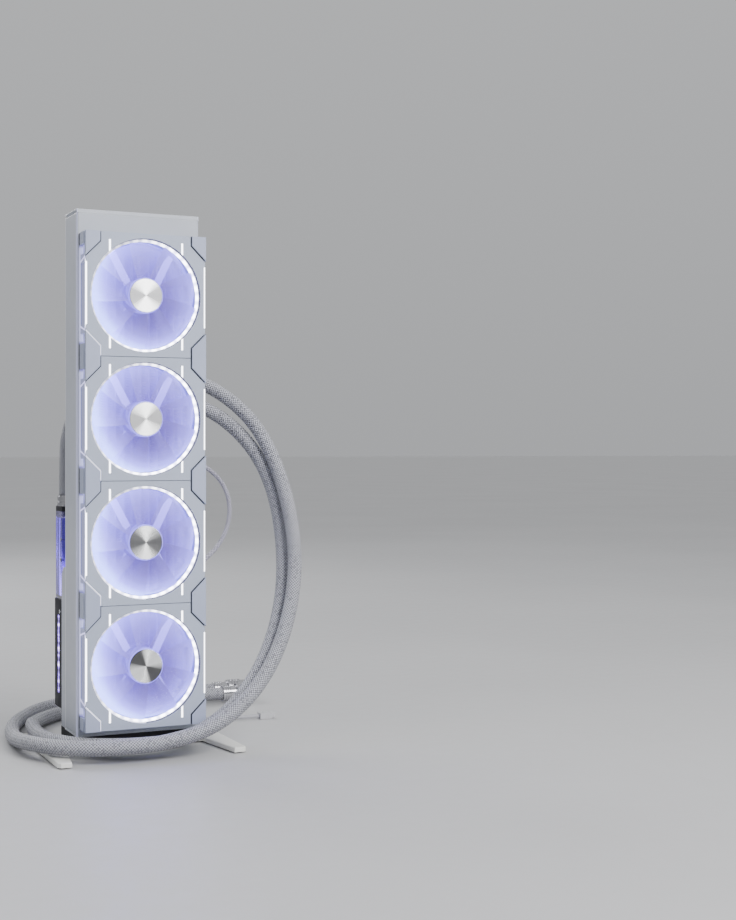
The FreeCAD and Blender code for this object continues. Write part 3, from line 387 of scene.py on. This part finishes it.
def case_material():
    """The casing's white paint, with a painted highlight along its rear edge and a painted violet glow
    beside the fans.
    """
    s = Shader("case_white")
    normal, edges = s.rounded(0.0011)
    x, y, _ = s.axes(s.space)
    side = s.math("GREATER_THAN", s.math("ABSOLUTE", x), CASE_SIDE)
    # painted highlight along the rear edge of the sides, and a painted violet glow on them beside the fans
    rear = s.times(side, s.span(y, CASE_BACK - 4.5 * MM, CASE_BACK - 3 * MM))
    painted_fan_glow = s.times(side, s.span(y, FAN_BACK + 7 * MM, FAN_BACK + 2 * MM))
    paint_white = paint_colour(s, (0.56, 0.59, 0.66), edges, 1.7, 0.96)
    s.set(Base_Color=s.mix(rear, paint_white, (0.95, 0.96, 1.0)), Roughness=s.mottled(60, 0.36, 0.5),
          Emission_Color=(0.55, 0.55, 1.0, 1), Emission_Strength=s.times(painted_fan_glow, 0.3))
    s.bump(s.noise(800, 2), 0.35, 0.00006, normal)
    return s.material


def cover_material():
    """The corner covers' white plastic, with painted shade on the walls that face a groove and on the thin
    webs.
    """
    s = Shader("cover_white")
    normal, edges = s.rounded(0.0004)
    x, y, _ = s.axes(s.space)
    _, facing, rising = s.axes(s.add("ShaderNodeNewGeometry").outputs["True Normal"])
    # painted shade on the walls that face a groove, and on the thin webs behind the face plate
    wall = s.times(s.span(s.math("ABSOLUTE", facing), 0.3, 0.2),
                   s.span(s.math("ABSOLUTE", rising), 0.95, 0.90))
    out = s.math("ABSOLUTE", x)
    plate = s.times(s.span(out, FACE_EDGE, FACE_EDGE - 0.4 * MM),
                    s.span(y, FAN_FACE - 1.5 * MM, FAN_FACE - 1.1 * MM))
    web = s.times(s.span(out, WEB_FACE + 0.1 * MM, WEB_FACE - 0.1 * MM),
                  s.span(y, FAN_FACE + 2.5 * MM, FAN_FACE + 2.7 * MM))
    dark = s.math("MAXIMUM", web, s.times(wall, plate))
    s.set(Base_Color=s.mix(s.times(dark, 0.9), paint_colour(s, (0.46, 0.51, 0.68), edges, 1.25), DARK),
          Roughness=s.mottled(60, 0.36, 0.48))
    s.bump(s.noise(1200, 2), 0.35, 0.00003, normal)
    return s.material


def slot_light():
    """The pump's slot of light, brighter and dimmer along its height."""
    s = Shader("violet_light")
    beat = s.noise(150, 2, (0.2, 0.2, 1.0))
    s.set(Base_Color=(0.42, 0.28, 1.0, 1), Roughness=0.3,
          Emission_Color=s.mix(s.span(beat, 0.5, 0.68), (0.20, 0.11, 0.72), (0.75, 0.62, 1.0)),
          Emission_Strength=s.span(beat, 0.38, 0.66, 0.25, 7.0))
    s.bump(s.noise(400, 2), 0.1, 0.00004)
    return s.material


def bars_material():
    """Bright bars and front edges, and the dimmer thin outline on a fan's sides."""
    s = Shader("light_bars")
    x, y, _ = s.axes(s.space)
    side = s.math("GREATER_THAN", s.math("ABSOLUTE", x), SIDE_LIGHT)
    dim = s.times(side, s.span(y, FAN_FACE + 2.2 * MM, FAN_FACE + 4 * MM))
    s.set(Base_Color=(0.9, 0.9, 0.98, 1), Roughness=0.3,
          Emission_Color=s.mix(dim, (0.93, 0.94, 1.0), (0.50, 0.48, 1.0)),
          Emission_Strength=s.span(dim, 0.0, 1.0, 7.0, 1.6))
    s.bump(s.noise(500, 2), 0.1, 0.00004)
    return s.material


def hub_material(number, axis, dark):
    """A metal cap turned in fine rings, with a painted reflection: a bright bow tie between two darker
    sectors.
    """
    s = Shader(f"hub_metal_{number}")
    tangent = s.add("ShaderNodeTangent", direction_type="RADIAL", axis="Y")
    x, _, z = s.axes(s.add("ShaderNodeTexCoord").outputs["Generated"])
    dx = s.math("SUBTRACT", x, 0.5)
    dz = s.math("SUBTRACT", z, 0.5)
    rings = s.add("ShaderNodeTexNoise", noise_dimensions="1D")
    rings.inputs["Scale"].default_value = 220
    s.join(s.length(dx, dz), rings.inputs["W"])
    # painted reflection: bright sectors along the given axis, dark sectors across it
    turn = s.math("SUBTRACT", s.math("ARCTAN2", dz, dx), math.radians(axis))
    painted_bow_tie = s.span(s.math("ABSOLUTE", s.math("COSINE", turn)), 0.45, 0.85)
    metal = s.mix(s.span(rings.outputs[0], 0.3, 0.7), (0.93, 0.95, 0.94), (1.0, 1.0, 1.0))
    s.set(Base_Color=s.mix(painted_bow_tie, (dark, dark, dark * 1.02), metal),
          Metallic=1.0, Roughness=s.span(rings.outputs[0], 0.2, 0.8, 0.20, 0.28), Anisotropic=0.9,
          Anisotropic_Rotation=0.25)
    s.join(tangent.outputs[0], s.bsdf.inputs["Tangent"])
    s.bump(rings.outputs[0], 0.12, 0.00002)
    return s.material


def braided(name, around, diameter, pale, gap):
    """A sleeve of crossing strands, with some darker ones among them, and painted shade on its underside.
    """
    s = Shader(name)
    u, v, _ = s.axes(s.add("ShaderNodeUVMap", uv_map="UVMap").outputs[0])
    turn = s.times(u, around)
    along = s.times(v, around / (math.pi * diameter))
    one = s.math("ADD", turn, along)
    other = s.math("SUBTRACT", turn, along)
    cell_one = s.math("FLOOR", one)
    cell_other = s.math("FLOOR", other)
    over = s.math("FLOORED_MODULO", s.math("ADD", cell_one, cell_other), 2.0)
    round_one = s.math("SINE", s.times(s.math("FRACT", one), math.pi))
    round_other = s.math("SINE", s.times(s.math("FRACT", other), math.pi))
    lift = s.span(over, 0.0, 1.0, round_one, round_other)
    across = s.span(over, 0.0, 1.0, one, other)
    fibres = s.math("ABSOLUTE", s.math("SINE", s.times(across, math.pi * 4)))
    cells = s.add("ShaderNodeCombineXYZ")
    s.feed(cells.inputs[0], s.math("FLOORED_MODULO", cell_one, around))
    s.feed(cells.inputs[1], cell_other)
    random = s.add("ShaderNodeTexWhiteNoise", noise_dimensions="2D")
    s.join(cells.outputs[0], random.inputs["Vector"])
    patches = s.span(s.noise(26, 2), 0.35, 0.65, 0.3, 1.0)
    plain = s.math("MULTIPLY_ADD", patches, -0.15, 1.0)
    speck = s.span(random.outputs["Value"], s.math("SUBTRACT", plain, 0.02), plain)
    thread = s.mix(s.times(speck, 0.40), pale, gap)
    # painted shade: darker where the sleeve faces down
    _, _, upward = s.axes(s.add("ShaderNodeNewGeometry").outputs["True Normal"])
    painted_underside_shade = s.span(upward, 0.4, -0.7, 0.0, 0.6)
    s.set(Base_Color=s.mix(painted_underside_shade, s.mix(s.span(lift, 0.30, 0.90), gap, thread), gap),
          Roughness=0.62, Sheen_Weight=0.5, Sheen_Roughness=0.35)
    s.bump(s.math("MULTIPLY_ADD", fibres, 0.12, lift), 1.0, diameter * 0.035)
    return s.material


def clear_shell():
    """The reservoir's clear walls, with a violet tint at their depth."""
    s = Shader("clear_acrylic")
    s.set(Base_Color=s.mix(s.span(s.noise(40, 2), 0.3, 0.7), (0.42, 0.38, 0.72), (0.50, 0.46, 0.78)),
          Roughness=s.mottled(90, 0.03, 0.08, 2), Transmission_Weight=0.92, IOR=1.45)
    s.bump(s.noise(120, 2), 0.05, 0.0002)
    return s.material


def lit_coolant():
    """Liquid lit from below, its light painted as a glow: bright upright streaks on near black."""
    s = Shader("coolant")
    streaks = s.noise(170, 3, (1.0, 1.0, 0.045))
    glow = s.ramp(streaks, [(0.44, (0.010, 0.006, 0.045)), (0.55, (0.10, 0.05, 0.42)),
                            (0.64, (0.55, 0.42, 1.0)), (0.72, (1.0, 0.92, 1.0))])
    s.set(Base_Color=(0.20, 0.15, 0.45, 1), Roughness=0.12, Transmission_Weight=0.45, IOR=1.33,
          Emission_Color=glow, Emission_Strength=3.2)
    s.bump(streaks, 0.05, 0.0002)
    return s.material


FINISHES = {
    "case_white": case_material(),
    "fan_white": cover_material(),
    "foot_white": coated("foot_white", (0.95, 0.95, 0.91), 700, (0.34, 0.48), 0.00006, 1.15, 0.0009),
    "plug_white": coated("plug_white", (0.62, 0.62, 0.64), 900, (0.4, 0.55)),
    "dark_plastic": coated("dark_plastic", (0.020, 0.020, 0.026), 900, (0.5, 0.7), 0.00006, 1.9, gloss=0.2),
    "dark_metal": coated("dark_metal", (0.022, 0.022, 0.025), 700, (0.5, 0.65), 0.00006, 2.2, gloss=0.3),
    "pad_rubber": coated("pad_rubber", (0.02, 0.02, 0.02), 500, (0.75, 0.9), 0.0001, 1.4),
    "cable_jacket": coated("cable_jacket", (0.52, 0.52, 0.56), 600, (0.45, 0.6), 0.00004),
    "winding_copper": turned("winding_copper", (0.42, 0.16, 0.06), 0.35, (1, 12, 1)),
    "core_aluminium": core_material(),
    "polished_metal": turned("polished_metal", (0.56, 0.56, 0.59), 0.12, (0.1, 0.1, 1)),
    "collar_metal": turned("collar_metal", (0.50, 0.50, 0.53), 0.28, (1, 0.1, 0.1)),
    "bearing_brass": turned("bearing_brass", (0.72, 0.52, 0.22), 0.25, (1, 0.1, 1)),
    "dark_steel": turned("dark_steel", (0.10, 0.10, 0.11), 0.35, (1, 1, 1)),
    "violet_light": slot_light(),
    "clear_acrylic": clear_shell(),
    "coolant": lit_coolant(),
    "white_light": bars_material(),
}
SLOTS = {part["node"]: part["material_slot"] for part in frame["record"]["subparts"]}


def paint(piece, material):
    piece.data.materials.clear()
    piece.data.materials.append(material)


for node, piece in frame["nodes"].items():
    if SLOTS[node] in FINISHES:
        paint(piece, FINISHES[SLOTS[node]])


HUB_PAINTED_BOW_TIES = {1: (95, 0.36), 2: (100, 0.38), 3: (80, 0.35), 4: (47, 0.12)}    # axis of each painted bow-tie reflection in degrees, and the tone of its painted dark sectors
BLADES_FINISH = blade_material()
RING_FINISH = ring_material()
FRAME_FINISH = frame_material()
for number in FANS:
    paint(frame["nodes"][f"fan_{number}_light_ring"], RING_FINISH)
    paint(frame["nodes"][f"fan_{number}_frame"], FRAME_FINISH)
    paint(frame["nodes"][f"fan_{number}_hub_cap"], hub_material(number, *HUB_PAINTED_BOW_TIES[number]))


# ---------------------------------------------------------------- cords
def route(points):
    return [Vector(point) * MM for point in points]


def smooth_line(points):
    """The route's NURBS line as close points."""
    curve = bpy.data.curves.new("line", "CURVE")
    curve.dimensions = "3D"
    curve.resolution_u = 24
    spline = curve.splines.new("NURBS")
    spline.points.add(len(points) - 1)
    for control, point in zip(spline.points, points):
        control.co = (*point, 1.0)
    spline.order_u = 3
    spline.use_endpoint_u = True
    holder = bpy.data.objects.new("line", curve)
    mesh = bpy.data.meshes.new_from_object(holder)
    line = np.array([v.co for v in mesh.vertices])
    bpy.data.objects.remove(holder)
    bpy.data.curves.remove(curve)
    bpy.data.meshes.remove(mesh)
    return line


def even(line, step):
    """The line with even points, about a step apart, and how far along it each one lies."""
    lengths = np.linalg.norm(np.diff(line, axis=0), axis=1)
    run = np.concatenate([[0.0], np.cumsum(lengths)])
    places = np.linspace(0.0, run[-1], int(run[-1] / step) + 1)
    return np.stack([np.interp(places, run, line[:, i]) for i in range(3)], axis=1), places


def skin(rows, sides):
    """The faces of a closed shell over rows of points: the quads between them, then the two ends."""
    faces = []
    for i in range(rows - 1):
        for j in range(sides):
            k = (j + 1) % sides
            faces.append((i * sides + j, i * sides + k, (i + 1) * sides + k, (i + 1) * sides + j))
    faces.append(tuple(reversed(range(sides))))
    faces.append(tuple((rows - 1) * sides + j for j in range(sides)))
    return faces


def tube_mesh(name, line, places, radius, sides):
    """A closed tube along a line, with its turn and its length in metres as the UV map."""
    tangents = np.gradient(line, axis=0)
    tangents /= np.linalg.norm(tangents, axis=1)[:, None]
    side = np.cross(tangents[0], (0.3, 0.5, 0.8))
    side /= np.linalg.norm(side)
    rings = []
    for point, tangent in zip(line, tangents):
        side = side - tangent * side.dot(tangent)
        side /= np.linalg.norm(side)
        up = np.cross(tangent, side)
        turns = np.arange(sides) * 2 * math.pi / sides
        rings.append(point + radius * (np.outer(np.cos(turns), side) + np.outer(np.sin(turns), up)))
    faces = skin(len(rings), sides)
    uvs = []
    for start, end in zip(places, places[1:]):
        for j in range(sides):
            left = j / sides
            right = (j + 1) / sides
            uvs += [(left, start), (right, start), (right, end), (left, end)]
    uvs += [(0.0, 0.0)] * (2 * sides)
    mesh = bpy.data.meshes.new(name)
    mesh.from_pydata(np.concatenate(rings).tolist(), [], faces)
    mesh.polygons.foreach_set("use_smooth", [True] * (len(faces) - 2) + [False] * 2)
    layer = mesh.uv_layers.new(name="UVMap")
    layer.data.foreach_set("uv", np.array(uvs, dtype=np.float32).ravel())
    mesh.update()
    return mesh


def place(name, mesh, material, body="root"):
    piece = bpy.data.objects.new(name, mesh)
    bpy.context.scene.collection.objects.link(piece)
    piece.data.materials.append(material)
    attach(piece, body)
    return piece


def make_cord(name, points, diameter, material, sides, step):
    line, places = even(smooth_line(route(points)), step)
    piece = place(name, tube_mesh(name, line, places, diameter / 2, sides), material)
    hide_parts(name)


SLEEVE = braided("hose_sleeve", 15, HOSE, (0.69, 0.70, 0.77), DARK)
THIN_SLEEVE = braided("cable_sleeve", 6, LIGHT_CABLE, (0.92, 0.90, 1.0), (0.20, 0.19, 0.28))

for side_name, points in (("return", RETURN_ROUTE), ("supply", SUPPLY_ROUTE)):
    make_cord(f"{side_name}_hose", points, HOSE, SLEEVE, 48, 3 * MM)
make_cord("light_cable", LIGHT_ROUTE, LIGHT_CABLE, THIN_SLEEVE, 24, 1.5 * MM)
make_cord("control_cable", CONTROL_ROUTE, THIN_CABLE, FINISHES["cable_jacket"],
          20, 1.5 * MM)


# ---------------------------------------------------------------- fan rotors
def blade_section(radius, count):
    """Points round one blade's section at a radius: turn about the axis, and depth behind its middle."""
    out = radius - BLADE_ROOT_R
    chord = 26.0 + 0.77 * out
    pitch = math.radians(48.0 - 0.84 * out + 0.0049 * out ** 2)
    sweep = 0.1 * out + 0.0022 * out ** 2
    places = np.cos(np.linspace(0.0, math.pi, count)) * 0.5
    camber = 1.2 * (1 - 4 * places ** 2)
    thick = 0.18 + 0.62 * np.sqrt(np.clip(1 - 4 * places ** 2, 0, 1))
    along = np.concatenate([places, places[::-1][1:-1]]) * chord
    across = np.concatenate([camber + thick, (camber - thick)[::-1][1:-1]])
    sideways = sweep + along * math.cos(pitch) - across * math.sin(pitch)
    deep = along * math.sin(pitch) + across * math.cos(pitch)
    return sideways / radius, deep


def blade_shell(turn, middle_y):
    """One closed blade: its points and faces, with the points round the Y axis in millimetres."""
    radii = np.linspace(HUB_R - 0.9, BLADE_TIP_R, 15)
    rings = []
    for radius in radii:
        turns, deep = blade_section(radius, 13)
        turns = turns + turn
        rings.append(np.stack([radius * np.sin(turns), middle_y + deep, radius * np.cos(turns)], axis=1))
    return np.concatenate(rings), skin(len(rings), len(rings[0]))


def lathe(profile, sides):
    """A closed shell turned round the Y axis from (radius, y) points that start and end on the axis."""
    verts = [(0.0, profile[0][1], 0.0)]
    turns = np.arange(sides) * 2 * math.pi / sides
    for radius, y in profile[1:-1]:
        verts += [(radius * math.sin(t), y, radius * math.cos(t)) for t in turns]
    verts.append((0.0, profile[-1][1], 0.0))
    faces = []
    rows = len(profile) - 2
    for j in range(sides):
        k = (j + 1) % sides
        faces.append((0, 1 + k, 1 + j))
        for i in range(rows - 1):
            a = 1 + i * sides
            faces.append((a + j, a + k, a + sides + k, a + sides + j))
        last = 1 + (rows - 1) * sides
        faces.append((last + j, last + k, len(verts) - 1))
    return np.array(verts), faces


def rotor_mesh(number):
    """A cup-shaped hub with its shaft and nine wide blades."""
    centre = FAN_BOTTOM + FAN * (len(FANS) - number + 0.5)
    front = FAN_FACE / MM + 2.0
    back = front + 23.0
    inside = front + 2.5
    inner = HUB_R - 1.8
    shaft = 1.5
    shaft_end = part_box(f"fan_{number}_rotor")[1].y / MM
    profile = [(0, front), (HUB_R - 1.2, front), (HUB_R - 0.35, front + 0.35), (HUB_R, front + 1.2),
               (HUB_R, back), (inner, back), (inner, inside), (shaft, inside), (shaft, shaft_end),
               (0, shaft_end)]
    shells = [lathe(profile, 72)]
    shells += [blade_shell(2 * math.pi * i / BLADES, front + 11.0) for i in range(BLADES)]
    verts = []
    polygons = []
    for points, faces in shells:
        start = len(verts)
        verts += (points * MM + (0.0, 0.0, centre)).tolist()
        polygons += [tuple(start + index for index in face) for face in faces]
    mesh = bpy.data.meshes.new(f"fan_{number}_blades")
    mesh.from_pydata(verts, [], polygons)
    mesh.update()
    mesh.shade_smooth()
    mesh.set_sharp_from_angle(angle=math.radians(35))
    return mesh


for number in FANS:
    rotor = place(f"fan_{number}_blades", rotor_mesh(number), BLADES_FINISH, f"fan_{number}_turning")
    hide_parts(f"fan_{number}_rotor")


# ---------------------------------------------------------------- folded fins
def fin_strips():
    """One folded strip in each gap between two flat tubes, each a thin closed sheet."""
    low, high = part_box("fin_packs")
    tubes = 14
    pitch = 10 * MM
    tube = 2 * MM
    play = 0.02 * MM
    fold = 1.5 * MM
    thick = 0.12 * MM
    bottom = low.z + 0.2 * MM
    folds = int((high.z - low.z) / fold)
    verts = []
    faces = []
    for gap in range(tubes - 1):
        left = pitch * (gap - (tubes - 1) / 2) + tube / 2 + play
        right = left + pitch - tube - 2 * play
        start = len(verts)
        for i in range(folds + 1):
            x = right if i % 2 else left
            z = bottom + fold * i
            for y in (low.y, high.y):
                verts += [(x, y, z), (x, y, z + thick)]
        for i in range(folds):
            a = start + 4 * i
            b = a + 4
            faces += [(a, b, b + 2, a + 2), (a + 1, a + 3, b + 3, b + 1),
                      (a, a + 1, b + 1, b), (a + 2, b + 2, b + 3, a + 3)]
        last = start + 4 * folds
        faces += [(start, start + 2, start + 3, start + 1), (last, last + 1, last + 3, last + 2)]
    mesh = bpy.data.meshes.new("fins")
    mesh.from_pydata(verts, [], faces)
    mesh.update()
    return mesh


fins = place("folded_fins", fin_strips(), FINISHES["core_aluminium"])
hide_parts("fin_packs")


# ---------------------------------------------------------------- stage, lights and camera
def stage_floor():
    s = Shader("pale_floor")
    s.set(Base_Color=s.mix(s.span(s.noise(1.5, 2), 0.35, 0.65), (0.60, 0.60, 0.61), (0.63, 0.63, 0.64)),
          Roughness=s.mottled(40, 0.42, 0.56))
    s.bump(s.noise(300, 2), 0.1, 0.0001)
    mesh = bpy.data.meshes.new("floor")
    half = 60.0
    mesh.from_pydata([(-half, -half, 0), (half, -half, 0), (half, half, 0), (-half, half, 0)], [],
                     [(0, 1, 2, 3)])
    floor = bpy.data.objects.new("floor", mesh)
    bpy.context.scene.collection.objects.link(floor)
    floor.data.materials.append(s.material)


def area_light(name, place_at, target, size, power, colour):
    light = bpy.data.lights.new(name, "AREA")
    light.shape = "RECTANGLE"
    light.size, light.size_y = size
    light.energy = power
    light.color = colour
    holder = bpy.data.objects.new(name, light)
    holder.location = place_at
    holder.rotation_euler = (Vector(target) - Vector(place_at)).to_track_quat("-Z", "Y").to_euler()
    bpy.context.scene.collection.objects.link(holder)


def studio():
    """A pale dome, dimmer on the left, a soft key in front, and a card that the hub caps reflect."""
    world = bpy.data.worlds.new("studio")
    world.use_nodes = True
    nodes = world.node_tree.nodes
    links = world.node_tree.links
    direction = nodes.new("ShaderNodeSeparateXYZ")
    links.new(nodes.new("ShaderNodeTexCoord").outputs["Generated"], direction.inputs[0])
    ramp = nodes.new("ShaderNodeValToRGB")
    ramp.color_ramp.elements[0].color = (0.58, 0.59, 0.61, 1)
    ramp.color_ramp.elements[1].color = (0.98, 0.99, 1.0, 1)
    links.new(direction.outputs["Z"], ramp.inputs[0])
    links.new(ramp.outputs[0], nodes["Background"].inputs["Color"])
    strength = nodes.new("ShaderNodeMapRange")
    limits = {"From Min": -0.9, "From Max": -0.1, "To Min": 0.36, "To Max": 0.78}
    for socket, value in limits.items():
        strength.inputs[socket].default_value = value
    links.new(direction.outputs["X"], strength.inputs[0])
    links.new(strength.outputs[0], nodes["Background"].inputs["Strength"])
    bpy.context.scene.world = world
    middle = (0, 0, 0.3)
    area_light("key", (0.8, -1.9, 1.75), middle, (1.2, 1.2), 47, (1.0, 0.995, 0.99))
    area_light("card", (0.57, -1.95, 0.68), middle, (0.5, 0.6), 6, (1.0, 1.0, 1.0))
    area_light("fill", (-2.4, -1.0, 1.2), middle, (1.2, 1.6), 5, (0.95, 0.96, 1.0))
    area_light("back", (-0.8, 2.6, 1.8), middle, (1.8, 1.0), 40, (0.97, 0.98, 1.0))


def photo_camera():
    """Level, a little above the tower's middle; the first three values are in dots of the picture."""
    image_height = 920
    focal_length = 1491
    horizon_above_middle = 11
    eye = (-0.4946, -1.6932, 0.347)
    turn = math.radians(-25.3)
    data = bpy.data.cameras.new("camera")
    data.sensor_width = 36.0
    data.lens = data.sensor_width * focal_length / image_height
    data.shift_y = -horizon_above_middle / image_height
    data.clip_end = 200
    camera = bpy.data.objects.new("camera", data)
    camera.location = eye
    camera.rotation_euler = (math.radians(90), 0, turn)
    bpy.context.scene.collection.objects.link(camera)
    bpy.context.scene.camera = camera


stage_floor()
studio()
photo_camera()
